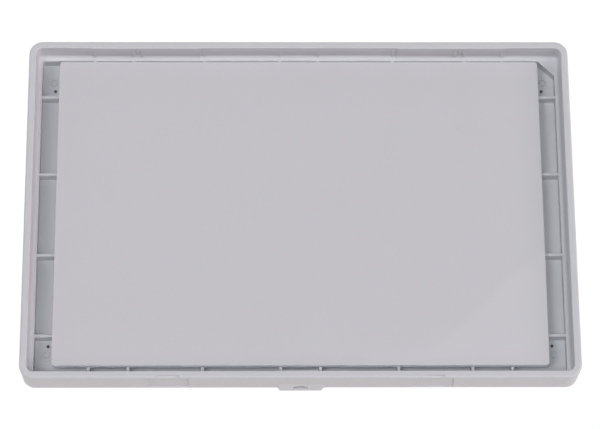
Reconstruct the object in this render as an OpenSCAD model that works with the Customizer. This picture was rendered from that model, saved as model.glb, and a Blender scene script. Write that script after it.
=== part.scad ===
// Wet palette: a shallow moulded tray whose ribbed floor carries a water-holding sponge
// and a sheet of palette paper. Millimetres, +Z up, origin on the table under the tray's centre.

/* [Tray] */
// Width over the rim
tray_w = 343; // [338:1:380]
// Depth over the rim, front to back
tray_l = 226; // [221:1:260]
// Height of the wall from its lower edge to the rim
wall_h = 22; // [21:0.5:26]
// Outer corner radius in plan
corner_r = 8.5; // [8.5:0.5:12]
// Width of the rim's top
rim_w = 4.5; // [4:0.1:4.7]
// Rounding of the rim's outer edge
rim_round = 1.2; // [0.6:0.1:1.6]
// Rounding of the rim's inner edge
rim_round_in = 0.6; // [0.3:0.1:0.9]
// Rounding of the wall's lower edge
foot_round = 0.7; // [0.3:0.1:1]
// How far the outer wall leans in at its lower edge
outer_draft = 0.8; // [0.4:0.1:1.2]
// How far the inner wall leans in at the ledge
inner_draft = 0.5; // [0.2:0.1:0.6]
// Wall thickness of the cored moulding
skin_t = 2.2; // [1.8:0.1:2.4]

/* [Ledge and recess] */
// Drop from the rim to the ledge
ledge_drop = 12.3; // [11:0.1:13]
// Width of the ledge at the sides, from the rim's inner edge to the recess
ledge_w = 3.3; // [3.2:0.1:3.8]
// Width of the ledge along the front and the back
ledge_w_long = 3.7; // [3.4:0.1:3.9]
// Radius of the cove between the wall and the ledge
cove_r = 2.7; // [0.8:0.1:3.2]
// Depth of the recess below the ledge
recess_depth = 6.6; // [5:0.1:7]
// Corner radius of the recess
recess_r = 2; // [1:0.5:4]
// Legs of the cut-off back right corner of the recess
recess_chamfer = 10.3; // [6:0.1:14]

/* [Ribs] */
// Thickness of a rib at its top
rib_t = 2; // [1.4:0.1:2.4]
// How much wider each side of a rib is at its root
rib_draft = 0.15; // [0.05:0.05:0.3]
// Size of the fillet at a rib's root
rib_fillet = 0.45; // [0.2:0.05:0.8]
// Bevel along a rib's top edges
rib_bevel = 0.25; // [0.1:0.05:0.4]
// Innermost pair of front-to-back ribs, from the centre
rib_x_inner = 12.2; // [10:0.1:20]
// Second pair of front-to-back ribs, from the centre
rib_x_second = 60.2; // [45:0.1:70]
// Third pair of front-to-back ribs, from the centre
rib_x_third = 105.8; // [90:0.1:115]
// Outermost pair of front-to-back ribs, from the centre
rib_x_outer = 130.2; // [120:0.1:138]
// Inner pair of side-to-side ribs, from the centre
rib_y_inner = 27.3; // [20:0.1:35]
// Outer pair of side-to-side ribs, from the centre
rib_y_outer = 80.6; // [70:0.1:82]
// Offset of all side-to-side ribs from the tray's middle, negative to the front
rib_y_shift = -0.9; // [-1:0.1:1]

/* [Lid fittings on the tray] */
// Width of the front catch lug at the wall
lug_w = 28.3; // [20:0.1:34]
// How far the lug stands out from the wall's lower edge
lug_reach = 1.8; // [1:0.1:2.4]
// Height of the lug's square front edge
lug_lip = 1.5; // [1:0.1:2]
// Height at which the lug's slope meets the wall
lug_top = 11; // [8:0.5:14]
// Width of the arched catch window in the lug
catch_w = 8.7; // [6:0.1:12]
// Height of the arched catch window
catch_h = 4.2; // [3:0.1:5]
// Depth of the catch window
catch_depth = 2.6; // [2:0.1:3]
// Thickness of the lip that a latch hooks behind
catch_lip = 1.1; // [0.8:0.1:1.2]
// Thickening of the recess wall behind the catch
catch_pad = 0.9; // [0.5:0.1:1.2]
// Distance of the front rim notches from the centre
notch_x = 81; // [60:1:100]
// Length of a front rim notch
notch_w = 13.5; // [8:0.5:20]
// Depth of a front rim notch, front to back
notch_depth = 1.5; // [0.8:0.1:2]
// Height of a front rim notch
notch_h = 1.1; // [0.8:0.1:1.6]
// Width of the shallow wall pocket under a notch
pocket_w = 25; // [16:0.5:32]
// Depth of that wall pocket
pocket_depth = 0.5; // [0.2:0.1:0.8]
// Distance of the back hinge slots from the centre
hinge_x = 102.8; // [80:0.1:103]
// Width of one hinge slot
hinge_slot_w = 1.1; // [0.8:0.1:1.2]
// Spacing of the two slots of a pair
hinge_slot_gap = 2.1; // [1.8:0.1:2.3]
// Depth of a hinge slot behind the foot of the plain wall
hinge_slot_depth = 0.1; // [0.1:0.1:1]
// Inner end of the thicker stretch of back wall round a hinge
hinge_pad_from = 62.8; // [62:0.1:66]
// Outer end of that stretch
hinge_pad_to = 131.9; // [131.5:0.1:136]
// How much thicker the wall is there
hinge_pad_t = 0.4; // [0.2:0.1:0.6]
// Width of the upright gussets above the ends of the front-to-back ribs
gusset_w = 1.8; // [1:0.1:2]
// How far a gusset stands out at the ledge
gusset_reach = 0.7; // [0.6:0.1:1.2]
// Height of a gusset above the ledge
gusset_h = 10.6; // [6:0.1:10.8]

/* [Feet] */
// How far the feet lift the tray off the table
stand_h = 2; // [1.5:0.1:4]
// Diameter of a foot's pad
foot_d = 10; // [8:0.5:13]
// Diameter of a foot's neck through the floor
foot_neck_d = 1.4; // [1.2:0.1:1.6]
// Diameter of the bead that holds a foot from inside
foot_bead_d = 1.9; // [1.8:0.1:2.6]
// Height of that bead above the floor
foot_bead_h = 0.8; // [0.6:0.1:1.4]
// Distance of the feet from the centre, side to side
foot_x = 155.6; // [145:0.1:157]
// Distance of the feet from the centre, front to back
foot_y = 86.4; // [84.5:0.1:90]

/* [Sponge and paper] */
// Width of the sponge and the paper
sheet_w = 305; // [280:1:316]
// Depth of the sponge and the paper, front to back
sheet_l = 204.6; // [180:0.1:207]
// Corner radius of the sponge and the paper
sheet_r = 2.2; // [1:0.1:6]
// Offset of the sponge and the paper from the tray's middle, negative to the front
sheet_shift = -0.1; // [-0.8:0.1:0.8]
// Thickness of the wet sponge
sponge_t = 4.3; // [2:0.1:6]
// Thickness of the paper with its film of water
paper_t = 0.3; // [0.2:0.05:0.5]

/* [Hidden] */

$fn = 64;
// Facets in each small rounding of a profile
round_steps = 5;
// Overlap that joins solids and clears cuts
bite = 0.5;
// Air under a laid piece
seat_gap = 0.05;
// Circular pads on the floor with the mark of an ejector pin
pad_d = 8;
pad_h = 0.25;
pin_mark_d = 4.8;
pin_mark_t = 0.7;
pin_mark_depth = 0.3;
pad_offset = [0.7, 5.7];
// Moulding gate under the floor
gate_d = 6;
gate_depth = 0.4;
// Webs across the cored channel under the ledge
web_t = 1.6;
// Width of the solid stretch of the channel behind the lug
lug_core = lug_w + 6;
// Ends of the lug slope in from the wall to its front edge
lug_slant = 1.4;
// Distance of the gusset beside each pair of hinge slots from the pair's middle
hinge_gusset_off = 2.8;
// Distance of the wall pockets from the rim and from the wall's lower edge
pocket_below_rim = 3.2;
pocket_above_foot = 2;
// Width of the thickened recess wall between the two middle ribs
catch_pad_w = 2 * rib_x_inner - rib_t;
// Floor left under the trough behind the lug's lip
catch_floor = 0.6;
foot_round_r = 0.8;
bead_round_r = 0.5;

ledge_z = wall_h - ledge_drop;
floor_z = ledge_z - recess_depth;
floor_t = min(skin_t, floor_z);
under_z = floor_z - floor_t;
recess_w = tray_w - 2 * (rim_w + ledge_w);
recess_l = tray_l - 2 * (rim_w + ledge_w_long);
rib_xs = [for (x = [rib_x_inner, rib_x_second, rib_x_third, rib_x_outer], s = [-1, 1]) s * x];
rib_ys = [for (y = [rib_y_inner, rib_y_outer], s = [-1, 1]) s * y + rib_y_shift];
straight_w = tray_w - 2 * corner_r;
straight_l = tray_l - 2 * corner_r;
wall_foot_y = -tray_l / 2 + outer_draft;
inner_foot_y = tray_l / 2 - rim_w - inner_draft;
sponge_z = stand_h + ledge_z + seat_gap;
paper_z = sponge_z + sponge_t + seat_gap;

function arc(cx, cy, r, from, to, steps = round_steps) =
    [for (i = [0 : steps]) let (a = from + (to - from) * i / steps)
        [cx + r * cos(a), cy + r * sin(a)]];

// Section of the wall, outward from a corner's centre: outer face, rim, inner face and cove
function wall_section() = let (inner = corner_r - rim_w, foot = inner - inner_draft)
    concat([[0, 0]],
           arc(corner_r - outer_draft - foot_round, foot_round, foot_round, -90, 0),
           arc(corner_r - rim_round, wall_h - rim_round, rim_round, 0, 90),
           arc(inner + rim_round_in, wall_h - rim_round_in, rim_round_in, 90, 180),
           arc(foot - cove_r, ledge_z + cove_r, cove_r, 0, -90, 2 * round_steps),
           [[0, ledge_z]]);

module rounded_rect(w, l, r) {
    square([w - 2 * r, l], center = true);
    square([w, l - 2 * r], center = true);
    for (x = [-1, 1], y = [-1, 1])
        translate([x * (w / 2 - r), y * (l / 2 - r)]) circle(r);
}

// Outline of the recess, or the outline that stands off it all round by grow
module recess_outline(grow = 0) {
    w = recess_w + 2 * grow;
    l = recess_l + 2 * grow;
    cut = recess_chamfer + (2 - sqrt(2)) * grow;
    difference() {
        rounded_rect(w, l, recess_r + grow);
        translate([w / 2, l / 2]) rotate(45) square(cut * sqrt(2), center = true);
    }
}

// Stretch of back wall, set in from its place by inset
module back_wall(x_from, x_to, inset) {
    rotate(90) translate([straight_l / 2 - inset, -x_from, 0]) rotate([90, 0, 0])
        linear_extrude(x_to - x_from) polygon(wall_section());
}

// The tray before it is hollowed: walls and rim swept round a block that ends at the ledge
module tray_blank() {
    back_wall(-hinge_pad_to, -hinge_pad_from, hinge_pad_t);
    back_wall(hinge_pad_from, hinge_pad_to, hinge_pad_t);
    for (turn = [0 : 3]) {
        across = turn % 2 == 0;
        run = across ? straight_l : straight_w;
        reach = (across ? straight_w : straight_l) / 2;
        rotate(90 * turn) translate([reach, run / 2, 0]) {
            rotate([90, 0, 0]) linear_extrude(run) polygon(wall_section());
            rotate_extrude(angle = 90) polygon(wall_section());
        }
    }
    translate([-straight_w / 2, -straight_l / 2, 0]) cube([straight_w, straight_l, ledge_z]);
}

// One rib along +X, standing on the floor and centred on the origin
module rib(length) {
    top = rib_t / 2;
    root = top + rib_draft;
    half = [[root + rib_fillet, -bite], [root + rib_fillet, 0], [root, rib_fillet],
            [top, recess_depth - rib_bevel], [top - rib_bevel, recess_depth]];
    mirrored = [for (i = [len(half) - 1 : -1 : 0]) [-half[i][0], half[i][1]]];
    translate([-length / 2, 0, floor_z]) rotate([90, 0, 90]) linear_extrude(length)
        polygon(concat(half, mirrored));
}

module rib_grid() {
    for (x = rib_xs) translate([x, 0, 0]) rotate(90) rib(recess_l + 2 * bite);
    for (y = rib_ys) translate([0, y, 0]) rib(recess_w + 2 * bite);
}

// Cored channel under the ledge, crossed by a web in line with each rib
module under_channel() {
    lean = outer_draft + skin_t;
    translate([0, 0, -bite]) linear_extrude(ledge_z - skin_t + bite) difference() {
        rounded_rect(tray_w - 2 * lean, tray_l - 2 * lean, corner_r - lean);
        recess_outline(skin_t);
        for (x = rib_xs) translate([x, 0]) square([web_t, tray_l], center = true);
        for (y = rib_ys) translate([0, y]) square([tray_w, web_t], center = true);
        translate([-lug_core / 2, -tray_l / 2]) square([lug_core, (tray_l - recess_l) / 2 + skin_t]);
    }
}

// Front lug: a slope that grows out of the wall into a square lip
module lug() {
    slope = [[bite, 0], [-lug_reach, 0], [-lug_reach, lug_lip], [bite, lug_top]];
    intersection() {
        translate([-lug_w / 2, wall_foot_y, 0]) rotate([90, 0, 90]) linear_extrude(lug_w) polygon(slope);
        linear_extrude(lug_top) translate([0, wall_foot_y])
            polygon([[-lug_w / 2, bite], [-lug_w / 2, 0], [lug_slant - lug_w / 2, -lug_reach],
                     [lug_w / 2 - lug_slant, -lug_reach], [lug_w / 2, 0], [lug_w / 2, bite]]);
    }
}

// Arched window in the lug, with a trough behind the lip for the tongue of a lid's latch
module catch_window() {
    rise = catch_h / 2;
    arch_r = (catch_w * catch_w / 4 + rise * rise) / (2 * rise);
    back = catch_depth - lug_reach / 2;
    translate([0, wall_foot_y + back, lug_lip]) rotate([90, 0, 0])
        linear_extrude(catch_depth + lug_reach) intersection() {
            translate([-catch_w / 2, 0]) square([catch_w, catch_h]);
            translate([0, catch_h - arch_r]) circle(arch_r);
        }
    translate([-catch_w / 2, wall_foot_y - lug_reach + catch_lip, catch_floor])
        cube([catch_w, back + lug_reach - catch_lip, lug_lip - catch_floor + catch_h / 2]);
}

module front_notch() {
    translate([-notch_w / 2, -tray_l / 2 - bite, wall_h - notch_h])
        cube([notch_w, notch_depth + bite, notch_h + bite]);
    translate([-pocket_w / 2, -tray_l / 2 - bite, pocket_above_foot])
        cube([pocket_w, outer_draft + pocket_depth + bite, wall_h - pocket_below_rim - pocket_above_foot]);
}

// Pair of shallow slots that run up the back wall from the cove and out over the rim's edge
module hinge_slots() {
    reach = hinge_pad_t + bite;
    for (s = [-1, 1])
        translate([s * hinge_slot_gap / 2 - hinge_slot_w / 2, inner_foot_y - reach, ledge_z + cove_r])
            cube([hinge_slot_w, hinge_slot_depth + reach, ledge_drop - cove_r + bite]);
}

// Low upright gusset on the back wall, which leans back until it is flush with the wall
module gusset(x, inset) {
    flush = inner_draft * gusset_h / (ledge_drop - rim_round_in);
    translate([x - gusset_w / 2, inner_foot_y - inset, ledge_z]) rotate([90, 0, 90]) linear_extrude(gusset_w)
        polygon([[-gusset_reach, -bite], [-gusset_reach, 0], [flush, gusset_h], [flush + bite, gusset_h],
                 [flush + bite, -bite]]);
}

module gussets() {
    for (x = rib_xs) {
        gusset(x, abs(x) > hinge_pad_from ? hinge_pad_t : 0);
        mirror([0, 1, 0]) gusset(x, 0);
    }
    for (s = [-1, 1]) gusset(s * (hinge_x - hinge_gusset_off), hinge_pad_t);
}

module at_pads() {
    for (x = [-1, 1], y = [-1, 1])
        translate([x * (foot_x + pad_offset[0]), y * (foot_y + pad_offset[1]), floor_z]) children();
}

// Ring that an ejector pin leaves in its pad
module pin_mark() {
    translate([0, 0, -pin_mark_depth]) difference() {
        cylinder(d = pin_mark_d, h = wall_h);
        translate([0, 0, -bite]) cylinder(d = pin_mark_d - 2 * pin_mark_t, h = 2 * wall_h);
    }
}

module at_feet() {
    for (x = [-1, 1], y = [-1, 1]) translate([x * foot_x, y * foot_y, 0]) children();
}

module tray() {
    color([0.76, 0.75, 0.77]) translate([0, 0, stand_h]) difference() {
        union() {
            difference() {
                tray_blank();
                translate([0, 0, floor_z]) linear_extrude(ledge_z - floor_z + bite) recess_outline();
            }
            rib_grid();
            gussets();
            lug();
            translate([-catch_pad_w / 2, -recess_l / 2 - bite, floor_z - bite])
                cube([catch_pad_w, catch_pad + bite, recess_depth + bite]);
            at_pads() translate([0, 0, -bite]) cylinder(d = pad_d, h = bite + pad_h);
        }
        under_channel();
        translate([0, 0, -bite]) linear_extrude(under_z + bite) recess_outline();
        translate([0, 0, under_z - bite]) cylinder(d = gate_d, h = gate_depth + bite);
        at_feet() cylinder(d = foot_neck_d, h = wall_h);
        at_pads() pin_mark();
        catch_window();
        for (s = [-1, 1]) {
            translate([s * notch_x, 0, 0]) front_notch();
            translate([s * hinge_x, 0, 0]) hinge_slots();
        }
    }
}

// A foot at its place: pad under the floor, neck through it and a bead above
module foot(side, depth) {
    pad_top = stand_h + under_z;
    neck_top = stand_h + floor_z;
    neck_r = foot_neck_d / 2;
    bead_r = foot_bead_d / 2;
    section = concat([[0, 0]],
        arc(foot_d / 2 - foot_round_r, foot_round_r, foot_round_r, -90, 0),
        [[foot_d / 2, pad_top], [neck_r, pad_top], [neck_r, neck_top], [bead_r, neck_top]],
        arc(bead_r - bead_round_r, neck_top + foot_bead_h - bead_round_r, bead_round_r, 0, 90),
        [[0, neck_top + foot_bead_h]]);
    color([0.3, 0.3, 0.31]) translate([side * foot_x, depth * foot_y, 0])
        rotate_extrude() polygon(section);
}

module foot_front_left() { foot(-1, -1); }
module foot_front_right() { foot(1, -1); }
module foot_back_left() { foot(-1, 1); }
module foot_back_right() { foot(1, 1); }

module laid_sheet(z, thickness) {
    translate([0, sheet_shift, z]) linear_extrude(thickness) rounded_rect(sheet_w, sheet_l, sheet_r);
}

module sponge() { color([0.78, 0.78, 0.76]) laid_sheet(sponge_z, sponge_t); }
module palette_paper() { color([0.77, 0.76, 0.78]) laid_sheet(paper_z, paper_t); }

tray();
sponge();
palette_paper();
foot_front_left();
foot_front_right();
foot_back_left();
foot_back_right();
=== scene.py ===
import math

import bmesh
import bpy
from mathutils import Matrix, Vector, noise


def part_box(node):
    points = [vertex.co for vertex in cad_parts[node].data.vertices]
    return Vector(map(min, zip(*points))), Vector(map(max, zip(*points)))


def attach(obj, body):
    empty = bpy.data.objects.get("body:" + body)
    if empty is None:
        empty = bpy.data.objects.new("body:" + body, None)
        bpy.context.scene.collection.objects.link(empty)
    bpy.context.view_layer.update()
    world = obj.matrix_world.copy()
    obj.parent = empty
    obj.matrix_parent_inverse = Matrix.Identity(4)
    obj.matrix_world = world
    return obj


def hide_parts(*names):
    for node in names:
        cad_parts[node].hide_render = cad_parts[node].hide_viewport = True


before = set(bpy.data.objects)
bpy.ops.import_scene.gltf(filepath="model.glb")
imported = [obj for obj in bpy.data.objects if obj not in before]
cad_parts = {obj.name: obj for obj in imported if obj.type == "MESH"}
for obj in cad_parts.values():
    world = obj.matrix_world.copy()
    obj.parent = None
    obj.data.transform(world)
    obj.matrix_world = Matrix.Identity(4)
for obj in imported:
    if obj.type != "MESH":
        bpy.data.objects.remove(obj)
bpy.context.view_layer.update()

MM = 0.001

# noise_vector moves its pattern with the seed, which is otherwise taken from the clock
noise.seed_set(1)

# Ribs that carry the sponge, in millimetres from the tray's centre
RIBS_X = (-130.2, -105.8, -60.2, -12.2, 12.2, 60.2, 105.8, 130.2)
RIBS_Y = (-81.5, -28.2, 26.4, 79.7)
# Half the sponge's width and depth, in millimetres
SPONGE_HALF = (152.5, 102.3)

# Line that bounds the painted sheen where the front right of the paper has let go of the wet sponge, in
# millimetres
SHEEN_LINE = ((30, -106), (42, -96), (82, -88), (107, -68.5), (127.5, -47), (142, -36), (155, -26))
# Specks on the paper: x, y and radius in millimetres, and how dark
SPECKS = ((100.7, 55.8, 0.55, 0.30), (61.9, 68.3, 0.5, 0.12))
SPECK_COLOUR = (0.06, 0.055, 0.06)
# Height of the paper's face above the table, in millimetres
PAPER_FACE = 16.35

# Far lights: name, azimuth (0 is in front, 90 to the right), elevation, strength and colour
LIGHTS = (
    ("top_front", 0, 72, 0.832, (0.85, 0.96, 1.0)),
    ("left_front", -60, 60, 1.017, (0.98, 0.995, 1.0)),
    ("right", 90, 22, 0.900, (1.0, 0.900, 0.945)),
    ("right_front", 45, 35, 0.392, (1.0, 0.94, 0.93)),
    ("right_front_high", 45, 50, 0.382, (1.0, 0.935, 0.94)),
    ("right_front_low", 60, 22, 0.380, (1.0, 0.965, 0.96)),
    ("left_low", -90, 12, 0.470, (0.92, 0.98, 1.0)),
    ("back_low", 180, 12, 0.342, (1.0, 0.975, 0.985)),
)
# Width of each light as the tray sees it, in degrees
LIGHT_SPREAD = 22
LIGHT_DISTANCE = 2.0

FLOOR_SIZE = 12.0
# Colour that the floor throws back on to the tray
CARD_COLOUR = (0.90, 0.86, 0.82)
# Part of the floor's look that a shadow can take away, and its own white
SHADE_COLOUR = (0.12, 0.12, 0.12)
FLOOR_GLOW = 0.93

# Camera fitted to the tray's edges in the photograph
CAMERA_AT = (-25.8834, -656.548, 1626.302)
CAMERA_ELEVATION, CAMERA_AZIMUTH, CAMERA_ROLL = 67.890, -2.2825, 2.0852
FOCAL_PX, FRAME_PX, SENSOR_MM = 2780.0, 600.0, 36.0


class Graph:
    """A material's node tree with its Principled shader and its object coordinates."""

    def __init__(self, name):
        self.material = bpy.data.materials.new(name)
        self.material.use_nodes = True
        self.tree = self.material.node_tree
        self.tree.nodes.clear()
        out = self.node("ShaderNodeOutputMaterial")
        self.shader = self.node("ShaderNodeBsdfPrincipled")
        self.link(self.shader.outputs[0], out.inputs["Surface"])
        self.place = self.node("ShaderNodeTexCoord").outputs["Object"]

    def node(self, kind, **settings):
        made = self.tree.nodes.new(kind)
        for key, value in settings.items():
            setattr(made, key, value)
        return made

    def link(self, a, b):
        self.tree.links.new(a, b)

    def noise(self, scale, detail=2.0, roughness=0.5):
        made = self.node("ShaderNodeTexNoise")
        made.inputs["Scale"].default_value = scale
        made.inputs["Detail"].default_value = detail
        made.inputs["Roughness"].default_value = roughness
        self.link(self.place, made.inputs["Vector"])
        return made.outputs["Fac"]

    def cells(self, scale):
        """Distance from the nearest point of a scattered set."""
        made = self.node("ShaderNodeTexVoronoi", feature="F1")
        made.inputs["Scale"].default_value = scale
        self.link(self.place, made.inputs["Vector"])
        return made.outputs["Distance"]

    def ramp(self, fac, *stops):
        """Colour by stops, each a position and a colour."""
        made = self.node("ShaderNodeValToRGB")
        while len(made.color_ramp.elements) < len(stops):
            made.color_ramp.elements.new(0.5)
        for element, (at, colour) in zip(made.color_ramp.elements, stops):
            element.position = at
            element.color = (*colour, 1.0)
        self.link(fac, made.inputs["Fac"])
        return made.outputs["Color"]

    def remap(self, value, given, wanted, smooth=False):
        """The value moved from one range to another, and held at its ends."""
        made = self.node("ShaderNodeMapRange")
        made.interpolation_type = "SMOOTHSTEP" if smooth else "LINEAR"
        for key, ends in (("From", given), ("To", wanted)):
            made.inputs[key + " Min"].default_value = ends[0]
            made.inputs[key + " Max"].default_value = ends[1]
        self.link(value, made.inputs["Value"])
        return made.outputs["Result"]

    def math(self, kind, a, b):
        made = self.node("ShaderNodeMath", operation=kind)
        self.link(a, made.inputs[0])
        self.link(b, made.inputs[1])
        return made.outputs[0]

    def mix(self, fac, under, over):
        """A linked colour with a plain one laid over it."""
        made = self.node("ShaderNodeMix", data_type="RGBA")
        self.link(fac, made.inputs["Factor"])
        self.link(under, made.inputs[6])
        made.inputs[7].default_value = (*over, 1.0)
        return made.outputs[2]

    def bump(self, height, distance, strength, normal=None):
        made = self.node("ShaderNodeBump")
        made.inputs["Distance"].default_value = distance
        made.inputs["Strength"].default_value = strength
        self.link(height, made.inputs["Height"])
        if normal is not None:
            self.link(normal, made.inputs["Normal"])
        return made.outputs["Normal"]

    def set(self, **sockets):
        """Number or link for each socket of the shader, with _ for a space in its name."""
        for key, value in sockets.items():
            socket = self.shader.inputs[key.replace("_", " ")]
            if isinstance(value, float):
                socket.default_value = value
            else:
                self.link(value, socket)


def linear(*srgb):
    """sRGB levels from 0 to 255 as linear colour."""
    return tuple(
        c / 12.92 if c <= 0.04045 else ((c + 0.055) / 1.055) ** 2.4 for c in (v / 255 for v in srgb)
    )


def scaled(colour, k):
    return tuple(c * k for c in colour)


def tray_plastic():
    """Pale satin moulding: a slow drift of tone, fine spark-eroded grain and softened edges."""
    g = Graph("tray_plastic")
    pale = linear(205, 203, 207)
    drift = g.noise(scale=11.0, detail=3.0, roughness=0.6)
    colour = g.ramp(drift, (0.3, scaled(pale, 0.985)), (0.7, scaled(pale, 1.012)))
    rough = g.remap(g.noise(scale=420.0, detail=3.0), (0.3, 0.7), (0.42, 0.54))
    edge = g.node("ShaderNodeBevel", samples=4)
    edge.inputs["Radius"].default_value = 0.25 * MM
    grain = g.noise(scale=3200.0)
    normal = g.bump(grain, distance=0.05 * MM, strength=0.18, normal=edge.outputs["Normal"])
    g.set(Base_Color=colour, Roughness=rough, Specular_IOR_Level=0.35, Normal=normal)
    return g.material


def foot_rubber():
    """Black rubber, given a dark grey colour with a cloudy tone."""
    g = Graph("foot_rubber")
    mottle = g.noise(scale=700.0, detail=4.0, roughness=0.65)
    colour = g.ramp(mottle, (0.35, (0.075, 0.075, 0.079)), (0.75, (0.120, 0.120, 0.125)))
    rough = g.remap(mottle, (0.3, 0.7), (0.62, 0.80))
    normal = g.bump(mottle, distance=0.06 * MM, strength=0.4)
    g.set(Base_Color=colour, Roughness=rough, Specular_IOR_Level=0.3, Normal=normal)
    return g.material


def sponge_foam():
    """Damp open-cell foam: round pores of two sizes, with painted shade that makes the pore darker than the
    skin.
    """
    g = Graph("sponge_foam")
    wide = g.remap(g.cells(scale=900.0), (0.12, 0.42), (0.0, 1.0), smooth=True)
    small = g.remap(g.cells(scale=2300.0), (0.1, 0.4), (0.45, 1.0), smooth=True)
    skin = g.math("MULTIPLY", wide, small)
    pale = linear(238, 241, 247)
    # Painted shade: the colour falls to 0.6 of the pale foam deep in the pores
    colour = g.ramp(skin, (0.0, scaled(pale, 0.6)), (0.5, scaled(pale, 0.9)), (1.0, pale))
    rough = g.remap(skin, (0.0, 1.0), (0.9, 0.68))
    normal = g.bump(skin, distance=0.35 * MM, strength=0.7)
    g.set(Base_Color=colour, Roughness=rough, Specular_IOR_Level=0.3, Normal=normal)
    return g.material


def painted_sheen_share(g):
    """Share of the painted sheen: 0 where the paper lies on the wet sponge, 1 in front of the sheen line,
    with a ragged edge between.
    """
    (x0, y0), (x1, y1) = SHEEN_LINE[0], SHEEN_LINE[-1]
    place = g.node("ShaderNodeSeparateXYZ")
    g.link(g.place, place.inputs[0])
    line = g.node("ShaderNodeFloatCurve")
    points = line.mapping.curves[0].points
    for x, y in SHEEN_LINE[1:-1]:
        points.new((x - x0) / (x1 - x0), (y - y0) / (y1 - y0))
    points[0].location = (0.0, 0.0)
    points[len(SHEEN_LINE) - 1].location = (1.0, 1.0)
    line.mapping.update()
    g.link(g.remap(place.outputs["X"], (x0 * MM, x1 * MM), (0.0, 1.0)), line.inputs["Value"])
    ragged = g.remap(g.noise(scale=60.0, detail=3.0), (0.3, 0.7), (-3 * MM, 3 * MM))
    level = g.remap(line.outputs[0], (0.0, 1.0), (y0 * MM, y1 * MM))
    reach = g.math("ADD", g.math("SUBTRACT", level, place.outputs["Y"]), ragged)
    return g.remap(reach, (-4 * MM, 5 * MM), (0.0, 1.0), smooth=True)


def palette_paper():
    """Smooth parchment, damp where it lies on the sponge, with a painted sheen on the corner that has let go
    of it.
    """
    g = Graph("palette_paper")
    pale = linear(205, 202, 206)
    cloud = g.noise(scale=26.0, detail=4.0, roughness=0.55)
    damp = g.ramp(cloud, (0.3, scaled(pale, 0.992)), (0.7, scaled(pale, 1.006)))
    # Painted sheen: the paper is coloured 3% paler in front of the sheen line
    colour = g.mix(painted_sheen_share(g), damp, scaled(pale, 1.032))
    for x, y, radius, depth in SPECKS:
        away = g.node("ShaderNodeVectorMath", operation="DISTANCE")
        away.inputs[1].default_value = (x * MM, y * MM, PAPER_FACE * MM)
        g.link(g.place, away.inputs[0])
        fade = (0.35 * radius * MM, radius * MM)
        colour = g.mix(g.remap(away.outputs["Value"], fade, (depth, 0.0), smooth=True), colour, SPECK_COLOUR)
    fibre = g.noise(scale=1500.0, detail=3.0, roughness=0.7)
    rough = g.remap(fibre, (0.3, 0.7), (0.50, 0.62))
    normal = g.bump(fibre, distance=0.02 * MM, strength=0.25)
    g.set(Base_Color=colour, Roughness=rough, Specular_IOR_Level=0.3, Normal=normal)
    return g.material


def spread(half, inset, step):
    """Stations from -half to half: close together in the corner zone, step apart between."""
    inner = half - inset
    count = max(2, round(2 * inner / step))
    run = [-inner + 2 * inner * i / count for i in range(count + 1)]
    zone = [inset * i / 4 for i in range(1, 5)]
    return [-half + inset - z for z in reversed(zone)] + run + [half - inset + z for z in zone]


def rounded(x, y, half_w, half_l, radius):
    """The point of a square-cornered grid moved on to the same grid with round corners."""
    u = (abs(x) - half_w + radius) / radius
    v = (abs(y) - half_l + radius) / radius
    if u <= 0 or v <= 0:
        return x, y
    nu, nv = u * math.sqrt(1 - v * v / 2), v * math.sqrt(1 - u * u / 2)
    return (
        math.copysign(half_w - radius + radius * nu, x),
        math.copysign(half_l - radius + radius * nv, y),
    )


def rim(rows):
    """The border of a grid, once round."""
    return rows[0][:-1] + [r[-1] for r in rows[:-1]] + rows[-1][:0:-1] + [r[0] for r in rows[:0:-1]]


def slab(name, low, high, radius, step, edge, side_rings, wobble):
    """A closed slab with round corners and rolled edges, edge wide. wobble gives the move of a point."""
    centre = ((low + high) / 2).to_2d()
    half = ((high - low) / 2).to_2d()
    xs = spread(half.x - edge, radius, step)
    ys = spread(half.y - edge, radius, step)
    plan = [[rounded(x, y, half.x - edge, half.y - edge, radius) for x in xs] for y in ys]
    bm = bmesh.new()

    def point(x, y, z, side):
        at = Vector((centre.x + x, centre.y + y, z))
        return bm.verts.new(at + wobble(at, side, min(half.x - abs(x), half.y - abs(y))))

    top = [[point(x, y, high.z, 1) for x, y in row] for row in plan]
    bottom = [[point(x, y, low.z, -1) for x, y in row] for row in plan]
    for rows, turn in ((top, 1), (bottom, -1)):
        for a, b in zip(rows, rows[1:]):
            for i in range(len(xs) - 1):
                corners = (a[i], a[i + 1], b[i + 1], b[i])
                bm.faces.new(corners[::turn])

    border = rim(plan)
    count = len(border)
    outward = []
    for i in range(count):
        along = Vector(border[(i + 1) % count]) - Vector(border[i - 1])
        outward.append(Vector((along.y, -along.x)).normalized())
    rings = [rim(top)]
    for k in range(1, side_rings):
        turn = math.pi * k / side_rings
        out = edge * min(1.0, math.sin(turn) * 1.6)
        z = low.z + (high.z - low.z) * (0.5 + 0.5 * math.cos(turn))
        rings.append([point(p[0] + n.x * out, p[1] + n.y * out, z, 0) for p, n in zip(border, outward)])
    rings.append(rim(bottom))
    for a, b in zip(rings, rings[1:]):
        for i in range(count):
            j = (i + 1) % count
            bm.faces.new((a[j], a[i], b[i], b[j]))

    mesh = bpy.data.meshes.new(name)
    bm.normal_update()
    bm.to_mesh(mesh)
    bm.free()
    for polygon in mesh.polygons:
        polygon.use_smooth = True
    piece = bpy.data.objects.new(name, mesh)
    bpy.context.scene.collection.objects.link(piece)
    return piece


def ease(value, low, high):
    """A smooth step from 0 at low to 1 at high."""
    t = min(1.0, max(0.0, (value - low) / (high - low)))
    return t * t * (3 - 2 * t)


def slack(value, ribs, end):
    """0 on a rib, 1 midway between two ribs or at a free edge."""
    mm = value / MM
    stops = [2 * -end - ribs[0], *ribs, 2 * end - ribs[-1]]
    for a, b in zip(stops, stops[1:]):
        if a <= mm <= b:
            return math.sin(math.pi * (mm - a) / (b - a)) ** 2
    return 0.0


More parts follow.
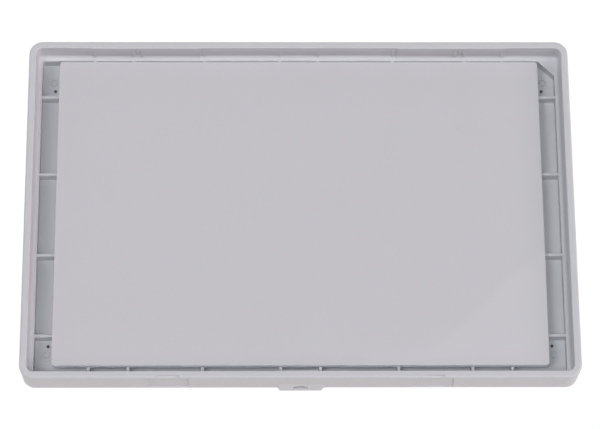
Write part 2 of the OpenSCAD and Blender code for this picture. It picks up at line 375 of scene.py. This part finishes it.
def foam_wobble(at, side, _inward):
    """Wet foam sags between the ribs that carry it, and its cut sides are ragged."""
    below_top = (sponge_high.z - at.z) / (sponge_high.z - sponge_low.z)
    sag = 0.9 * below_top * slack(at.x, RIBS_X, SPONGE_HALF[0]) * slack(at.y, RIBS_Y, SPONGE_HALF[1])
    if side == 0:
        cut = noise.noise_vector(at / (0.9 * MM))
        return Vector((0.10 * cut.x, 0.10 * cut.y, -sag)) * MM
    fine = noise.noise(at / (1.1 * MM))
    if side > 0:
        return Vector((0, 0, -0.06 + 0.04 * fine)) * MM
    return Vector((0, 0, 0.06 + 0.03 * fine - sag)) * MM


def paper_wobble(at, _side, inward):
    """Damp paper lies in long shallow waves, turns up a trifle at its edges and has one faint crease."""
    wave = 0.04 * noise.noise(Vector((at.x, at.y * 1.6, 3.1 * MM)) / (62 * MM))
    curl = 0.05 * (1 - ease(inward, 0, 7 * MM))
    crease = 0.022 * math.exp(-(((at.y + 96.4 * MM) / (1.4 * MM)) ** 2)) * ease(at.x, 38 * MM, 52 * MM)
    return Vector((0, 0, (wave + curl + crease) * MM))


def seen_directly(tree):
    """1 for what the camera sees, straight or in gloss or glass, and 0 for light on its way."""
    path = tree.nodes.new("ShaderNodeLightPath")
    seen = path.outputs["Is Camera Ray"]
    for ray in ("Is Glossy Ray", "Is Transmission Ray"):
        either = tree.nodes.new("ShaderNodeMath")
        either.operation = "MAXIMUM"
        tree.links.new(seen, either.inputs[0])
        tree.links.new(path.outputs[ray], either.inputs[1])
        seen = either.outputs[0]
    return seen


def pick_by_ray(tree, output, lighting, look):
    """One shader for light on its way and another for what is seen."""
    out = tree.nodes.new(output)
    pick = tree.nodes.new("ShaderNodeMixShader")
    for a, b in (
        (seen_directly(tree), pick.inputs["Fac"]),
        (lighting, pick.inputs[1]),
        (look, pick.inputs[2]),
        (pick.outputs[0], out.inputs["Surface"]),
    ):
        tree.links.new(a, b)


def studio_floor():
    """A pale card that looks white, and that keeps the tray's shadow."""
    bpy.ops.mesh.primitive_plane_add(size=FLOOR_SIZE)
    floor = bpy.context.active_object
    floor.name = "studio_floor"
    material = bpy.data.materials.new("studio_floor")
    material.use_nodes = True
    tree = material.node_tree
    tree.nodes.clear()
    card = tree.nodes.new("ShaderNodeBsdfDiffuse")
    shade = tree.nodes.new("ShaderNodeBsdfDiffuse")
    glow = tree.nodes.new("ShaderNodeEmission")
    white = tree.nodes.new("ShaderNodeAddShader")
    card.inputs["Color"].default_value = (*CARD_COLOUR, 1)
    shade.inputs["Color"].default_value = (*SHADE_COLOUR, 1)
    glow.inputs["Strength"].default_value = FLOOR_GLOW
    tree.links.new(shade.outputs[0], white.inputs[0])
    tree.links.new(glow.outputs[0], white.inputs[1])
    pick_by_ray(tree, "ShaderNodeOutputMaterial", card.outputs[0], white.outputs[0])
    floor.data.materials.append(material)


def studio_world():
    """White where it is seen. It gives no light."""
    world = bpy.data.worlds.new("studio")
    bpy.context.scene.world = world
    world.use_nodes = True
    tree = world.node_tree
    tree.nodes.clear()
    dark = tree.nodes.new("ShaderNodeBackground")
    white = tree.nodes.new("ShaderNodeBackground")
    for background, strength in ((dark, 0.0), (white, 1.0)):
        background.inputs["Color"].default_value = (1, 1, 1, 1)
        background.inputs["Strength"].default_value = strength
    pick_by_ray(tree, "ShaderNodeOutputWorld", dark.outputs[0], white.outputs[0])


def direction(azimuth, elevation):
    """Unit vector from the tray, in degrees. Azimuth 0 is in front, 90 to the right."""
    a, e = math.radians(azimuth), math.radians(elevation)
    return Vector((math.sin(a) * math.cos(e), -math.cos(a) * math.cos(e), math.sin(e)))


def far_light(name, azimuth, elevation, strength, colour):
    """A wide soft light, far from the tray."""
    toward = direction(azimuth, elevation)
    lamp = bpy.data.lights.new(name, "SUN")
    lamp.angle = math.radians(LIGHT_SPREAD)
    lamp.energy = strength
    lamp.color = colour
    made = bpy.data.objects.new(name, lamp)
    made.location = toward * LIGHT_DISTANCE
    made.rotation_mode = "QUATERNION"
    made.rotation_quaternion = toward.to_track_quat("Z", "Y")
    bpy.context.scene.collection.objects.link(made)


def photo_camera():
    back = direction(CAMERA_AZIMUTH, CAMERA_ELEVATION)
    level = (-back).cross(Vector((0, 0, 1))).normalized()
    upright = level.cross(-back)
    roll = math.radians(CAMERA_ROLL)
    right = math.cos(roll) * level + math.sin(roll) * upright
    up = -math.sin(roll) * level + math.cos(roll) * upright
    lens = bpy.data.cameras.new("camera")
    lens.sensor_width = SENSOR_MM
    lens.lens = FOCAL_PX * SENSOR_MM / FRAME_PX
    lens.clip_start, lens.clip_end = 0.05, 50.0
    camera = bpy.data.objects.new("camera", lens)
    turn = Matrix((right, up, back)).transposed().to_4x4()
    camera.matrix_world = Matrix.Translation(Vector(CAMERA_AT) * MM) @ turn
    bpy.context.scene.collection.objects.link(camera)
    bpy.context.scene.camera = camera


sponge_low, sponge_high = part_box("sponge")
sponge = slab(
    "sponge_pad",
    sponge_low,
    sponge_high,
    radius=1.8 * MM,
    step=1.6 * MM,
    edge=0.45 * MM,
    side_rings=10,
    wobble=foam_wobble,
)
sponge.data.materials.append(sponge_foam())
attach(sponge, "sponge")
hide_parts("sponge")

# The sheet is thinner than its solid, to leave room for its waves and its curl
paper_low, paper_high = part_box("palette_paper")
paper_low.z += 0.05 * MM
paper_high.z -= 0.09 * MM
paper = slab(
    "paper_sheet",
    paper_low,
    paper_high,
    radius=2.1 * MM,
    step=1.5 * MM,
    edge=0.05 * MM,
    side_rings=4,
    wobble=paper_wobble,
)
paper.data.materials.append(palette_paper())
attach(paper, "paper")
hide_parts("palette_paper")

plastic, rubber = tray_plastic(), foot_rubber()
for name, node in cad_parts.items():
    node.data.materials.clear()
    node.data.materials.append(rubber if name.startswith("foot_") else plastic)

studio_floor()
studio_world()
for light in LIGHTS:
    far_light(*light)
photo_camera()

bpy.context.scene.view_settings.view_transform = "Standard"
